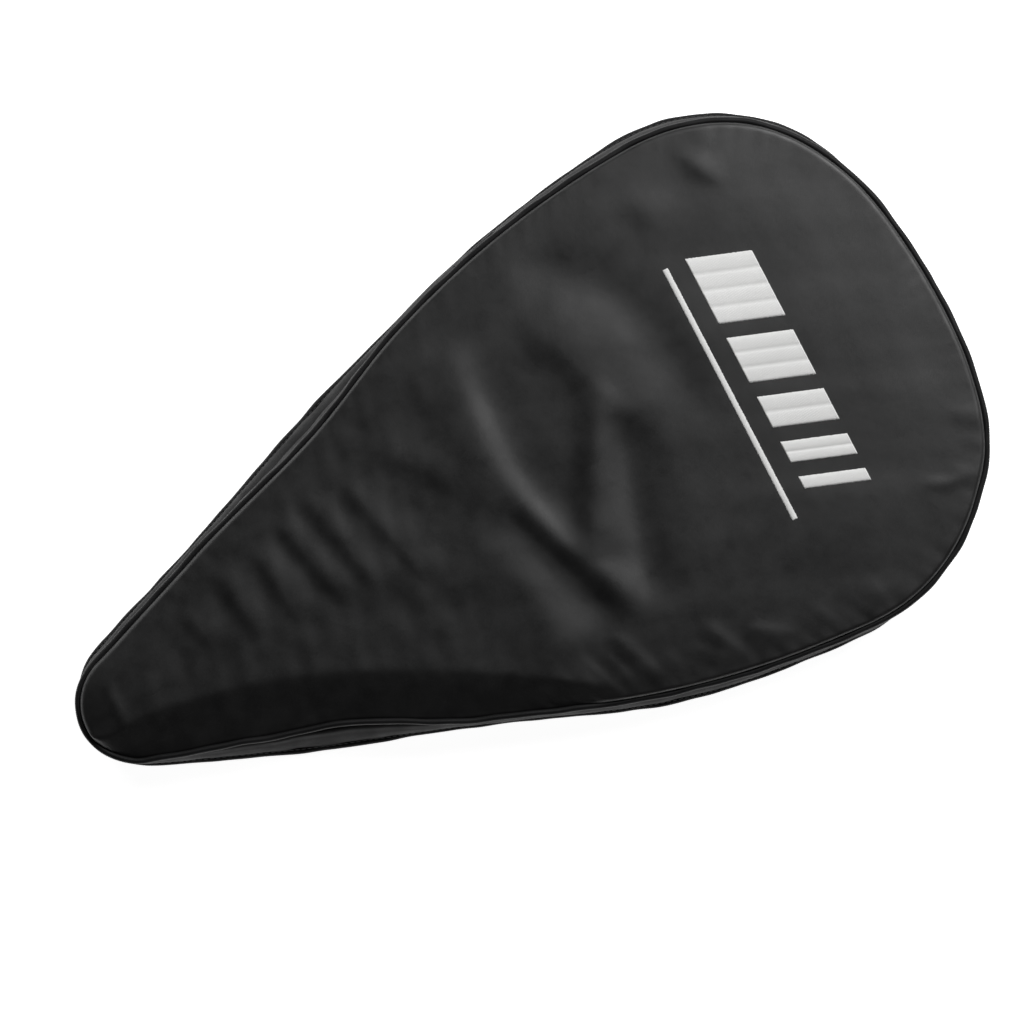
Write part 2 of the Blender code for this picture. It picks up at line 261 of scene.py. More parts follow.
def mesh_object(name, corners, faces, uv=None, weld=()):
    """A smooth mesh object from arrays of corners and faces, with one UV per corner.

    `weld` numbers the corners that are merged where they coincide.
    """
    mesh = bpy.data.meshes.new(name)
    mesh.from_pydata(np.asarray(corners).tolist(), [], faces)
    if uv is not None:
        layer = mesh.uv_layers.new(name="cloth")
        loops = np.zeros(len(mesh.loops), int)
        mesh.loops.foreach_get("vertex_index", loops)
        layer.data.foreach_set("uv", np.asarray(uv)[loops].ravel())
    piece = bpy.data.objects.new(name, mesh)
    bpy.context.collection.objects.link(piece)
    work = bmesh.new()
    work.from_mesh(mesh)
    work.verts.ensure_lookup_table()
    if len(weld):
        bmesh.ops.remove_doubles(work, verts=[work.verts[index] for index in weld], dist=WELD_DISTANCE)
    bmesh.ops.recalc_face_normals(work, faces=work.faces)
    work.to_mesh(mesh)
    work.free()
    mesh.shade_smooth()
    return piece


def quads(rows, columns, around, across, first=0):
    """Faces of a grid, closed along its rows and columns as asked."""
    index = np.arange(rows * columns).reshape(rows, columns) + first
    after = np.roll(index, -1, 0)
    if not around:
        index, after = index[:-1], after[:-1]
    beside, both = np.roll(index, -1, 1), np.roll(after, -1, 1)
    if not across:
        index, after, beside, both = (part[:, :-1] for part in (index, after, beside, both))
    return np.stack((index, beside, both, after), -1).reshape(-1, 4).tolist()


def caps(rows, columns):
    """The two end faces of a grid that is closed across its columns."""
    return [list(range(columns)), list(range((rows - 1) * columns, rows * columns))]


def swept(name, runs, inset, z, closed):
    """A tube of section (inset, z) along `runs`. The arrays are (runs, corners)."""
    points = wall(runs[:, None], inset, z)
    rows, columns = points.shape[:2]
    faces = quads(rows, columns, closed, True)
    if not closed:
        faces += caps(rows, columns)
    step = np.hypot(np.diff(inset, axis=-1), np.diff(z, axis=-1))
    across = np.zeros(np.broadcast_shapes(inset.shape, z.shape))
    across[..., 1:] = np.cumsum(step, -1)
    uv = np.stack(np.broadcast_arrays(runs[:, None] * MM, across * MM), -1).reshape(-1, 2)
    return mesh_object(name, points.reshape(-1, 3), faces, uv)


def sheet_section(outer, z, thickness):
    """A closed section for cloth whose outer side follows (outer, z), both (runs, n) or (n,)."""
    return (np.concatenate((outer, outer[..., ::-1] + thickness), -1),
            np.concatenate((z, z[..., ::-1]), -1))


def directions(path):
    """Unit vectors along a path of points."""
    ahead = np.gradient(path, axis=0)
    return ahead / np.linalg.norm(ahead, axis=1)[:, None]


def rod(path, flat, size, sides):
    """Corners and faces of a rod along `path` with an oval section, whose first axis is `flat`."""
    lift = np.cross(flat, directions(path))
    turns = np.linspace(0, 2 * math.pi, sides, endpoint=False)[None, :, None]
    rows = path[:, None] + size[0] * np.cos(turns) * flat[:, None] + size[1] * np.sin(turns) * lift[:, None]
    return rows.reshape(-1, 3), quads(len(path), sides, False, True) + caps(len(path), sides)


# ---------------------------------------------------------------- materials

def shader(name, colour, roughness, metallic=0.0, **more):
    """A Principled material and its node tree, with the constant values set on the sockets."""
    finish = bpy.data.materials.new(name)
    finish.use_nodes = True
    tree = finish.node_tree
    main = tree.nodes["Principled BSDF"]
    main.inputs["Base Color"].default_value = (*colour, 1)
    main.inputs["Roughness"].default_value = roughness
    main.inputs["Metallic"].default_value = metallic
    for label, value in more.items():
        main.inputs[label.replace("_", " ").title()].default_value = value
    return finish, tree, main


def add_node(tree, kind, **values):
    """A node with some of its inputs or properties set."""
    node = tree.nodes.new(kind)
    for label, value in values.items():
        socket = label.replace("_", " ")
        found = [slot for slot in node.inputs if slot.name.lower() == socket]
        if found:
            found[0].default_value = value
        else:
            setattr(node, label, value)
    return node


def ramp(tree, source, low, high, dark, light):
    """Colours from `dark` to `light` as `source` goes from `low` to `high`."""
    node = tree.nodes.new("ShaderNodeValToRGB")
    node.color_ramp.elements[0].position = low
    node.color_ramp.elements[1].position = high
    node.color_ramp.elements[0].color = (*dark, 1)
    node.color_ramp.elements[1].color = (*light, 1)
    tree.links.new(source, node.inputs["Fac"])
    return node.outputs["Color"]


def weave_height(tree, where, pitch, twill=0.0):
    """Over-and-under height of a woven cloth of that thread pitch, in metres."""
    turned = add_node(tree, "ShaderNodeMapping")
    turned.inputs["Rotation"].default_value = (0, 0, twill)
    turned.inputs["Scale"].default_value = (1 / pitch,) * 3
    tree.links.new(where, turned.inputs["Vector"])
    total = None
    for axis in ("X", "Y"):
        wave = add_node(tree, "ShaderNodeTexWave", scale=1 / math.pi, distortion=0.6, detail=1.0)
        wave.bands_direction = axis
        tree.links.new(turned.outputs["Vector"], wave.inputs["Vector"])
        if total is None:
            total = wave.outputs["Fac"]
        else:
            joined = add_node(tree, "ShaderNodeMath", operation="ADD")
            tree.links.new(total, joined.inputs[0])
            tree.links.new(wave.outputs["Fac"], joined.inputs[1])
            total = joined.outputs[0]
    return total


def bump(tree, main, *heights):
    """Stack bumps (source, distance, strength) under the shader's normal."""
    last = None
    for source, distance, strength in heights:
        node = add_node(tree, "ShaderNodeBump", strength=strength, distance=distance)
        tree.links.new(source, node.inputs["Height"])
        if last:
            tree.links.new(last, node.inputs["Normal"])
        last = node.outputs["Normal"]
    tree.links.new(last, main.inputs["Normal"])


def noise(tree, where, scale, detail=4.0, roughness=0.55):
    """A noise texture on those coordinates."""
    node = add_node(tree, "ShaderNodeTexNoise", scale=scale, detail=detail, roughness=roughness)
    tree.links.new(where, node.inputs["Vector"])
    return node.outputs["Fac"]


def cloth(name, dark, light, roughness, pitch, depth, coordinates="Object", twill=0.0, rumple=0.0,
          ior=1.5):
    """A woven cloth whose colour and roughness wander a little over its face.

    `pitch` is the way between threads and `depth` their relief, in metres; `rumple` is a coarser relief.
    """
    finish, tree, main = shader(name, light, roughness[1])
    main.inputs["IOR"].default_value = ior
    source = add_node(tree, "ShaderNodeTexCoord")
    where = source.outputs[coordinates]
    body = source.outputs["Object"]
    tint = ramp(tree, noise(tree, body, 38.0, 5.0), 0.3, 0.72, dark, light)
    tree.links.new(tint, main.inputs["Base Color"])
    smooth_grey, rough_grey = ((value,) * 3 for value in roughness)
    rough = ramp(tree, noise(tree, body, 90.0), 0.3, 0.7, smooth_grey, rough_grey)
    tree.links.new(rough, main.inputs["Roughness"])
    heights = []
    if rumple:
        heights.append((noise(tree, body, 160.0, 3.0), rumple, 1.0))
    heights.append((weave_height(tree, where, pitch, twill), depth, 1.0))
    bump(tree, main, *heights)
    return finish


def moulded(name, colour, roughness, grain, depth, metallic=0.0):
    """A moulded or cast surface with a fine grain and slightly worn patches."""
    finish, tree, main = shader(name, colour, roughness, metallic)
    body = add_node(tree, "ShaderNodeTexCoord").outputs["Object"]
    worn = noise(tree, body, 240.0, 5.0)
    pale = tuple(min(1.0, part * 1.7 + 0.004) for part in colour)
    tree.links.new(ramp(tree, worn, 0.45, 0.75, colour, pale), main.inputs["Base Color"])
    tree.links.new(ramp(tree, worn, 0.3, 0.7, (roughness * 0.8,) * 3, (roughness * 1.25,) * 3),
                   main.inputs["Roughness"])
    bump(tree, main, (noise(tree, body, grain, 3.0), depth, 1.0))
    return finish


SATIN_PITCH = 0.00031


def thread_material():
    """Silver satin stitching: fine parallel threads with a soft sheen, with painted shade darkening the
    grooves between the threads.
    """
    finish, tree, main = shader("emblem_thread", (0.80, 0.80, 0.79), 0.42, sheen_weight=0.25,
                                sheen_roughness=0.4)
    where = add_node(tree, "ShaderNodeTexCoord").outputs["UV"]
    bands = math.pi / 10 / SATIN_PITCH
    threads = add_node(tree, "ShaderNodeTexWave", scale=bands, distortion=1.0, detail=1.0)
    threads.bands_direction = "X"
    tree.links.new(where, threads.inputs["Vector"])
    # Painted shade: the colour follows the threads' bump height and is darker in the grooves between them.
    tint = ramp(tree, threads.outputs["Fac"], 0.0, 0.6, (0.74, 0.74, 0.73), (0.92, 0.92, 0.91))
    tree.links.new(tint, main.inputs["Base Color"])
    bump(tree, main, (threads.outputs["Fac"], 0.00005, 0.8), (noise(tree, where, 900.0), 0.00005, 0.5))
    return finish


NYLON = cloth("nylon_shell", (0.0008, 0.0008, 0.0009), (0.0020, 0.0020, 0.0022), (0.43, 0.53), 0.00045,
              0.000012, rumple=0.00006, ior=1.62)
# The wall's nylon is the panel's cloth painted about eight times lighter: a painted sheen that stands in
# for the light the side band catches.
NYLON_WALL_PAINTED_LIGHT = cloth("nylon_wall_painted_light", (0.0080, 0.0080, 0.0083), (0.0150, 0.0150, 0.0155), (0.50, 0.62),
                   0.00045, 0.00002, "UV", rumple=0.00006, ior=1.16)
PIPING = cloth("piping_cloth", (0.006, 0.006, 0.0063), (0.013, 0.013, 0.0135), (0.40, 0.52), 0.00040,
               0.00002, "UV", math.radians(45), ior=1.25)
LINING = cloth("lining_cloth", (0.045, 0.045, 0.047), (0.070, 0.070, 0.073), (0.75, 0.9), 0.0006,
               0.00004, rumple=0.00012)
LINING_WALL = cloth("lining_wall", (0.045, 0.045, 0.047), (0.070, 0.070, 0.073), (0.75, 0.9), 0.0006,
                    0.00004, "UV", rumple=0.00012)
BINDING = cloth("binding_tape", (0.010, 0.010, 0.0105), (0.018, 0.018, 0.019), (0.6, 0.75), 0.0007,
                0.00006, "UV", math.radians(35))
TAPE = cloth("zip_tape", (0.008, 0.008, 0.0083), (0.014, 0.014, 0.0145), (0.55, 0.7), 0.0006,
             0.00005, "UV")
THREAD = cloth("sewing_thread", (0.012, 0.012, 0.0125), (0.022, 0.022, 0.023), (0.4, 0.55), 0.0003,
               0.00004)
FOAM = moulded("padding_foam", (0.045, 0.045, 0.047), 0.95, 1400.0, 0.0002)
COIL = moulded("zip_coil", (0.012, 0.012, 0.0125), 0.3, 900.0, 0.00001)
METAL = moulded("zip_metal", (0.035, 0.035, 0.037), 0.34, 1200.0, 0.00002, 0.85)
RUBBER = moulded("pull_rubber", (0.014, 0.014, 0.0145), 0.6, 1600.0, 0.00003)
SILVER = thread_material()


def finish_piece(piece, material, body, slot, *nodes):
    """Give a piece its material, the body it moves with and the CAD nodes that it stands for."""
    piece.data.materials.append(material)
    if nodes:
        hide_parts(*nodes)
    if body:
        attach(piece, body)
    return piece


# ---------------------------------------------------------------- front panel

def fold(u, v, path, height, width, ends, skew):
    """A soft ridge of that height along `path`, or a valley if it is negative.

    It fades over `ends` at both ends. `skew` above 0 makes the path's left side steeper than its right.
    """
    best, along, side, way = np.full(u.shape, 1e9), np.zeros(u.shape), np.zeros(u.shape), 0.0
    path = np.array(path, float)
    for start, end in zip(path, path[1:]):
        step = end - start
        length = math.hypot(*step)
        share = np.clip(((u - start[0]) * step[0] + (v - start[1]) * step[1]) / length ** 2, 0, 1)
        du, dv = u - start[0] - share * step[0], v - start[1] - share * step[1]
        distance = np.hypot(du, dv)
        closer = distance < best
        best = np.where(closer, distance, best)
        along = np.where(closer, way + share * length, along)
        side = np.where(closer, np.sign(step[0] * dv - step[1] * du), side)
        way += length
    spread = width * (1 - skew * side)
    fade = np.clip(along / ends, 0, 1) * np.clip((way - along) / ends, 0, 1)
    return height * smooth(fade) * np.exp(-(best / spread) ** 2)


PANEL_RIM_INSET = 2.7
SEAM_Z = 38.0
ROLL_WIDTH = 3.6
ROLL_HEIGHT = 4.6
ROLL_POWER = 3.0
CREST_BEND = 2.4
FLANK_EDGE = 1.3
HEAD_BEND_AT = 262.0
TIP_TURN = 50.0

# (path from the hinged side, height, width, skew): what the cloth does over the slack middle
FOLDS = (
    (((259, 96), (253, 58), (250, 28), (253, 4), (260, -14)), 1.45, 15.0, 0.22),
    (((254, 8), (262, -18), (271, -42), (279, -60), (286, -84)), 1.5, 10.5, -0.1),
    (((321, 42), (310, 17), (299, -1), (289, -19), (277, -46)), 1.9, 9.5, -0.1),
    (((325, 20), (317, -5), (310, -27), (302, -52), (292, -86)), -1.3, 11.5, -0.25),
    (((268, 78), (266, 45), (265, 18), (269, -10), (276, -44)), -0.6, 11.0, -0.35),
    (((244, 2), (240, -28), (240, -58), (246, -92)), 1.2, 19.0, 0.1),
    (((242, 8), (256, -28), (265, -52), (274, -84)), -1.4, 12.0, 0.42),
    (((300, 88), (308, 70), (317, 45), (328, 22), (337, -4)), 1.3, 17.0, -0.42),
    (((304, 110), (326, 99), (343, 84), (354, 64), (359, 42), (360, 18), (356, -8)), -0.9, 13.0, 0.0),
    (((410, 130), (419, 110), (430, 92)), 0.7, 6.0, -0.2),
    (((197, 68), (210, 52), (223, 37), (237, 14)), 0.8, 9.0, -0.25),
    (((238, 94), (236, 58)), 0.4, 5.0, -0.2),
    (((372, 122), (384, 106), (392, 84)), 0.6, 10.0, -0.2),
    (((440, -84), (456, -92), (480, -99)), 0.5, 3.5, 0.1),
    (((22, 26), (22, 4), (20, -22)), 0.6, 3.5, -0.2),
)
RIPPLES = (
    ((76, 36), (79, 20), (83, 2)),
    ((101, 44), (103, 24), (106, -2)),
    ((122, 50), (125, 24), (129, -8)),
    ((140, 56), (146, 27), (155, -8)),
    ((158, 60), (165, 27), (173, -12)),
    ((179, 56), (187, 26), (198, -18)),
)
# Short puckers that start at the lower seam: where from, where to, height and width
PUCKERS = (
    ((257, -112), (243, -80), 0.44, 5.8),
    ((266, -114), (257, -84), 0.48, 4.3),
    ((280, -118), (265, -78), 0.6, 6.1),
    ((292, -120), (284, -96), 0.32, 4.9),
    ((318, -126), (296, -103), 0.4, 5.2),
    ((324, -128), (310, -96), 0.56, 5.5),
    ((354, -128), (326, -109), 0.44, 5.2),
    ((374, -134), (362, -112), 0.28, 5.8),
    ((404, -138), (395, -114), 0.36, 5.2),
    ((486, -104), (458, -84), 0.28, 4.3),
    ((498, -74), (470, -58), 0.24, 4.6),
    ((430, 140), (424, 116), 0.24, 5.2),
)


def crest_v(u):
    """Where the panel turns down to its lower flank along the handle."""
    way = u - 40.0
    return -6.0 - 0.13 * way - 0.0016 * way ** 2


def soft_min(one, other, soft):
    """The smaller of two heights, with a rounded corner between them."""
    low = np.minimum(one, other)
    return low - soft * np.log(np.exp((low - one) / soft) + np.exp((low - other) / soft))


def crown(across, share):
    """Height of the padded panel over its seam, `across` mm in from the rim."""
    roll = 1 - (1 - np.clip(across / ROLL_WIDTH, 0, 1)) ** ROLL_POWER
    slope = 1 - np.clip(1 - across / (30 + 90 * share), 0, 1) ** 2
    return ROLL_HEIGHT * roll ** (1 / ROLL_POWER) + crown_rise(share) * slope


def crown_rise(share):
    """How much higher the panel's middle is than its rolled edge: less towards the head."""
    return 4.3 - 2.0 * share


def panel_form(u, v, way, run, reach):
    """The padded panel without folds: an even crown at the head, a slack lower flank at the handle."""
    share = np.clip(u / LENGTH, 0, 1)
    turned = smooth(np.where(run > HALF, np.clip((LAP - run) / TIP_TURN, 0, 1), 0))
    across = way + turned * (2 * way[:, -1:] - 2 * way)
    crest = crest_v(u) + reach
    sharp = np.maximum(crest, 8.0) / CREST_BEND
    flank = np.clip((v + reach) / np.maximum(crest, 4.0), 0, 3)
    flank = 1 - np.log1p(np.exp(sharp * (1 - flank))) / sharp
    edge = FLANK_EDGE * np.sqrt(1 - (1 - np.clip(way / 2.0, 0, 1)) ** 2)
    falling = edge + (ROLL_HEIGHT + crown_rise(share)) * 0.93 * flank
    handle = smooth(np.clip((HEAD_BEND_AT - u) / 34, 0, 1))
    return crown(way, share) * (1 - handle) + soft_min(crown(across, share), falling, 0.25) * handle


def panel_height(u, v, way, run, reach):
    """Height of the front panel. `way` is the distance from its rim and `reach` the rim's own v."""
    relief = 0
    for path, size, width, skew in FOLDS:
        relief += fold(u, v, path, size, width, 22.0, skew)
    for number, path in enumerate(RIPPLES):
        relief += fold(u, v, path, 0.95 - 0.06 * number, 6.5, 16.0, -0.25)
    handle = np.clip((250 - u) / 60, 0, 1)
    relief += handle * 0.10 * waves(u, v * 0.45, 17.0, 3)
    relief += 0.25 * waves(u, v, 80.0, 5) + 0.05 * waves(u, v, 24.0, 6)
    inner = 1 - np.exp(-(way / 12.0) ** 2)
    height = SEAM_Z + panel_form(u, v, way, run, reach) + inner * relief
    for start, end, size, width in PUCKERS:
        height += fold(u, v, (start, end), size, width, 12.0, -0.2) * np.clip(way / 2.5, 0, 1)

    pull = gathers(run, 15.0, 11)
    crowd = 0.25 + 0.7 * np.exp(-((run - 985) / 60) ** 2) + 0.8 * np.exp(-((run - 820) / 40) ** 2)
    height -= 0.6 * crowd * pull * np.exp(-way / 8.0) * np.clip(way / 3, 0, 1)
    return height


def ring_share(rings, spread):
    """How far in each of a panel's rings is, from 0 at the rim to 1 at the middle line."""
    return (np.arange(rings) / (rings - 1)) ** spread


def panel_points(inset, spread, rings, runs, level=FRONT_SEAM_Z):
    """Plan points of a panel at the seam `level`, in rings from the rim to the middle line.

    The second array says how far in each point is. It levels off towards the middle, where both
    flanks' values meet.
    """
    edge = wall(runs, inset, level) / MM
    share = ring_share(rings, spread)
    along = SPINE_FROM + (SPINE_TO - SPINE_FROM) * (edge[:, 0] / LENGTH + 0.5)
    middle = np.stack((along - LENGTH / 2, np.zeros(len(runs))), -1)
    plan = edge[:, None, :2] * (1 - share[None, :, None]) + middle[:, None] * share[None, :, None]
    reach = np.hypot(*(middle - edge[:, :2]).T)
    order = np.argsort(along)
    upper = order[runs[order] < HALF]
    lower = order[runs[order] >= HALF]
    mean = (np.interp(along, along[upper], reach[upper]) + np.interp(along, along[lower], reach[lower])) / 2
    way = reach[:, None] * (share - share ** 3 / 3) + 2 / 3 * (mean - reach)[:, None] * smooth(share)
    return plan, way


def rim_v(u):
    """How far below the middle line the front panel's lower rim is at `u`."""
    edge = wall(LAP - np.linspace(0, HALF, 600), PANEL_RIM_INSET, FRONT_SEAM_Z) / MM
    return np.interp(u, edge[:, 0] + LENGTH / 2, np.abs(edge[:, 1]))


def slab(name, plan, top, bottom):
    """A closed panel between two heights over the same plan rings, welded along the middle line."""
    upper, lower = (np.concatenate((plan, height[..., None]), -1) for height in (top, bottom))
    points = np.concatenate((upper[:, ::-1], lower), 1) * MM
    rows, columns = points.shape[:2]
    uv = np.concatenate((plan[:, ::-1], plan), 1).reshape(-1, 2) * MM
    middle = [row * columns + column for row in range(rows) for column in (0, columns - 1)]
    return mesh_object(name, points.reshape(-1, 3), quads(rows, columns, True, False), uv, middle)


def panel_surface(inset, spread, rings, runs):
    """Plan rings of the front panel and the creased height over them."""
    plan, way = panel_points(inset, spread, rings, runs)
    u, v = plan[..., 0] + LENGTH / 2, plan[..., 1]
    return plan, panel_height(u, v, way + inset - PANEL_RIM_INSET, runs[:, None], rim_v(u))


def make_front():
    """The front panel's creased nylon, its foam and its lining."""
    plan, height = panel_surface(PANEL_RIM_INSET, 1.3, 84, lap_of(1.75))
    shell = slab("front_panel", plan, height, height - 0.7)
    finish_piece(shell, NYLON, "lid", "nylon_shell", "front_shell")

    plan, height = panel_surface(6.4, 1.2, 40, lap_of(4.0))
    share = np.clip(ring_share(40, 1.2) * 8, 0, 1)
    top = height - 1.4
    foam = slab("front_foam", plan, top, np.maximum(top - 0.8 - 2.8 * share, 37.9))
    finish_piece(foam, FOAM, "lid", "padding_foam", "front_padding")

    plan, height = panel_surface(8.5, 1.2, 56, lap_of(3.0))
    share = np.clip(ring_share(56, 1.2) * 8, 0, 1)
    soft = 0.5 * waves(plan[..., 0], plan[..., 1], 48.0, 61) * share
    low = np.maximum(height - 6.2 - 0.3 * share + soft - 0.5, 37.3)
    cover = slab("front_lining_cloth", plan, low + 0.5, low)
    finish_piece(cover, LINING, "lid", "lining_cloth", "front_lining")
    return shell


front_panel = make_front()
SURFACE = BVHTree.FromObject(front_panel, bpy.context.evaluated_depsgraph_get())


def on_panel(points, lift):
    """Drop plan points onto the front panel and lift them off it by `lift` mm."""
    placed = []
    for (x, y), up in zip(points, np.broadcast_to(lift, len(points))):
        hit = SURFACE.ray_cast(Vector((x * MM, y * MM, 0.2)), Vector((0, 0, -1)))[0]
        placed.append(hit + Vector((0, 0, up * MM)))
    return np.array(placed)


# ---------------------------------------------------------------- emblem

THREAD_RIDGE = 0.62
COLUMN_WIDTH = 9.5


def satin(name, place, length, width, seed):
    """A field of satin stitching on the panel: crowned columns of threads laid side by side.

    `place` turns (share along, share across) into plan points. The threads lie across.
    """
    columns = max(1, math.ceil(width / COLUMN_WIDTH))
    along = np.linspace(0, 1, round(length / THREAD_RIDGE * 4) + 1)[:, None]
    across = np.linspace(0, 1, columns * 9 + 1)[None]
    ragged = 0.10 * waves(along * length, 0, 1.3, seed) / width
    crown = np.sqrt(np.abs(np.sin(math.pi * columns * across)))
    ends = np.clip(np.minimum(along, 1 - along) * length / 0.5, 0, 1) ** 0.5
    ridge = np.cos(2 * math.pi * along * length / THREAD_RIDGE)
    lift = -0.15 + (0.22 + 0.48 * crown + 0.07 * ridge * crown) * ends
    edge = np.where((across == 0) | (across == 1), ragged * np.where(across == 0, -1, 1), 0)
    plan = place(along + 0 * across, across + edge + 0 * along)
    rows, count = lift.shape
    top = on_panel(plan.reshape(-1, 2), lift.reshape(-1)).reshape(rows, count, 3)
    under = top[:, [-1, 0]] - (0, 0, 0.35 * MM)
    points = np.concatenate((top, under), 1)
    uv = np.stack((along + 0 * across, across + 0 * along), -1) * (length * MM, width * MM)
    uv = np.concatenate((uv, uv[:, [-1, 0]]), 1).reshape(-1, 2)
    faces = quads(rows, count + 2, False, True) + caps(rows, count + 2)
    return mesh_object(name, points.reshape(-1, 3), faces, uv)


def make_emblem():
    """Slanted bars and a thin rule, stitched in silver thread."""
    high = EMBLEM_HALF
    spacing = (2 * EMBLEM_HALF - EMBLEM_SLANT - sum(BAR_WIDTHS)) / (len(BAR_WIDTHS) - 1)
    for number, width in enumerate(BAR_WIDTHS, 1):
        def place(along, across, low=high - width, width=width):
            return np.stack((EMBLEM_AT - LENGTH / 2 + EMBLEM_DEPTH * along,
                             low + width * across - EMBLEM_SLANT * along), -1)
        bar = satin(f"stitched_bar_{number}", place, EMBLEM_DEPTH, width, 110 + number)
        finish_piece(bar, SILVER, "lid", "emblem_thread", f"emblem_bar_{number}")
        high -= width + spacing

    def rule_place(along, across):
        return np.stack((RULE_AT - LENGTH / 2 + RULE_WIDTH * across,
                         -EMBLEM_HALF + 2 * EMBLEM_HALF * along), -1)
    rule = satin("stitched_rule", rule_place, 2 * EMBLEM_HALF, RULE_WIDTH, 120)
    finish_piece(rule, SILVER, "lid", "emblem_thread", "emblem_rule")


make_emblem()


# ---------------------------------------------------------------- run of the whole object

CORD_RADIUS = 1.58
CORD_RIB = 0.17
CORD_LAY = 2.0


def make_piping(name, z, seed):
    """Corded piping: a cloth tube whose twisted cord shows as slanted ribs."""
    runs = lap_of(0.38)
    turns = np.linspace(0, 2 * math.pi, 12, endpoint=False)
    ribs = round(LAP / CORD_LAY)
    twist = np.sin(2 * math.pi * ribs * runs[:, None] / LAP + turns[None])
    radius = CORD_RADIUS + CORD_RIB * np.abs(twist) ** 0.6 + 0.05 * ring_waves(runs, 23.0, seed)[:, None]
    drift = 0.18 * ring_waves(runs, 31.0, seed + 1)[:, None]
    inset = PIPING_RADIUS + radius * np.cos(turns) + drift
    return swept(name, runs, inset, z + radius * np.sin(turns) + 0.5 * drift, True)


finish_piece(make_piping("front_piping_cord", FRONT_SEAM_Z, 21), PIPING, "lid", "piping_cord",
             "front_piping")
finish_piece(make_piping("back_piping_cord", BACK_SEAM_Z, 31), PIPING, "base", "piping_cord",
             "back_piping")


GUSSET_Z = (5.2, 25.6)
GUSSET_DIP = 4.2


def make_gusset():
    """The side wall's outer cloth: bulging between its seams, puckered along them, lower at the hinge."""
    runs = lap_of(1.8)
    share = np.linspace(0, 1, 22)
    hinged = eased(np.mod(runs, LAP), ((HINGE_FROM - 8, 0), (HINGE_FROM + 6, 1), (HINGE_TO - 6, 1),
                                       (HINGE_TO + 8, 0)))[:, None]
    z = GUSSET_Z[0] + (GUSSET_Z[1] - GUSSET_DIP * hinged - GUSSET_Z[0]) * share
    bulge = 1.9 * np.sin(share * math.pi) ** 0.8
    lip = 2.9 * (1 - hinged) * np.clip((share - 0.9) / 0.1, 0, 1) ** 2
    pucker = np.clip(ring_waves(runs, 17.0, 41), -1, 1.5)[:, None]
    seams = np.exp(-share / 0.16) + np.exp(-(1 - share) / 0.16)
    drape = 0.30 * ring_waves(runs, 60.0, 42)[:, None] * np.sin(share * math.pi)
    inset = WALL_INSET - 0.4 - bulge + lip + 0.28 * pucker * seams + drape
    inset = np.maximum(inset, 0.15)
    outer, heights = np.broadcast_arrays(inset, z)
    return swept("gusset_cloth", runs, *sheet_section(outer, heights, CLOTH_THICKNESS), True)


finish_piece(make_gusset(), NYLON_WALL_PAINTED_LIGHT, "base", "nylon_shell", "gusset_shell")


def make_back():
    """The back panel's nylon, flat where it rests and rising to its seam, its foam and its lining."""
    plan, way = panel_points(PANEL_RIM_INSET, 1.3, 60, lap_of(2.6), BACK_SEAM_Z)
    runs = lap_of(2.6)[:, None]
    u, v = plan[..., 0], plan[..., 1]
    pull = gathers(runs, 16.0, 51)
    slack = np.clip(0.55 * waves(u, v, 90.0, 52) + 0.3 * waves(u, v, 37.0, 53) - 0.15, 0, 2)
    low = 3.0 * np.exp(-(way / 5.5) ** 1.3) + slack * (1 - np.exp(-(way / 25) ** 2))
    low += 0.9 * pull * np.exp(-way / 10.0) * np.clip(way / 4, 0, 1)
    shell = slab("back_panel", plan, low + 0.7, low)
    finish_piece(shell, NYLON, "base", "nylon_shell", "back_shell")

    plan, way = panel_points(8.2, 1.2, 24, lap_of(6.0), BACK_SEAM_Z)
    low = np.full(way.shape, 3.2)
    foam = slab("back_foam", plan, low + 2.0, low)
    finish_piece(foam, FOAM, "base", "padding_foam", "back_padding")

    plan, way = panel_points(8.2, 1.2, 60, lap_of(2.6), BACK_SEAM_Z)
    u, v = plan[..., 0], plan[..., 1]
    soft = (0.5 * waves(u, v, 55.0, 71) + 0.2 * waves(u, v, 21.0, 72) + 0.5) * (1 - np.exp(-way / 9.0))
    high = 6.1 + np.clip(soft, 0, 1.6)
    cover = slab("back_lining_cloth", plan, high, np.full(way.shape, 5.5))
    finish_piece(cover, LINING, "base", "lining_cloth", "back_lining")


make_back()


# ---------------------------------------------------------------- linings, bindings and zip

def round_strip(inset, thickness, low, high, corner=0.25):
    """An upright strip's section with eased corners, as (inset, z) arrays."""
    right = inset + thickness
    corner = min(corner, thickness / 2.2)
    section = ((inset + corner, low), (right - corner, low), (right, low + corner),
               (right, (low + high) / 2), (right, high - corner), (right - corner, high),
               (inset + corner, high), (inset, high - corner), (inset, (low + high) / 2),
               (inset, low + corner))
    return np.array(section).T


def strip_piece(name, runs, section, closed, ripple=0.0, seed=0):
    """A strip of cloth or tape along the case, rippling a little."""
    inset, z = section
    shift = ripple * ring_waves(runs, 19.0, seed)[:, None]
    return swept(name, runs, inset[None] + shift, np.broadcast_to(z, (len(runs), len(z))), closed)


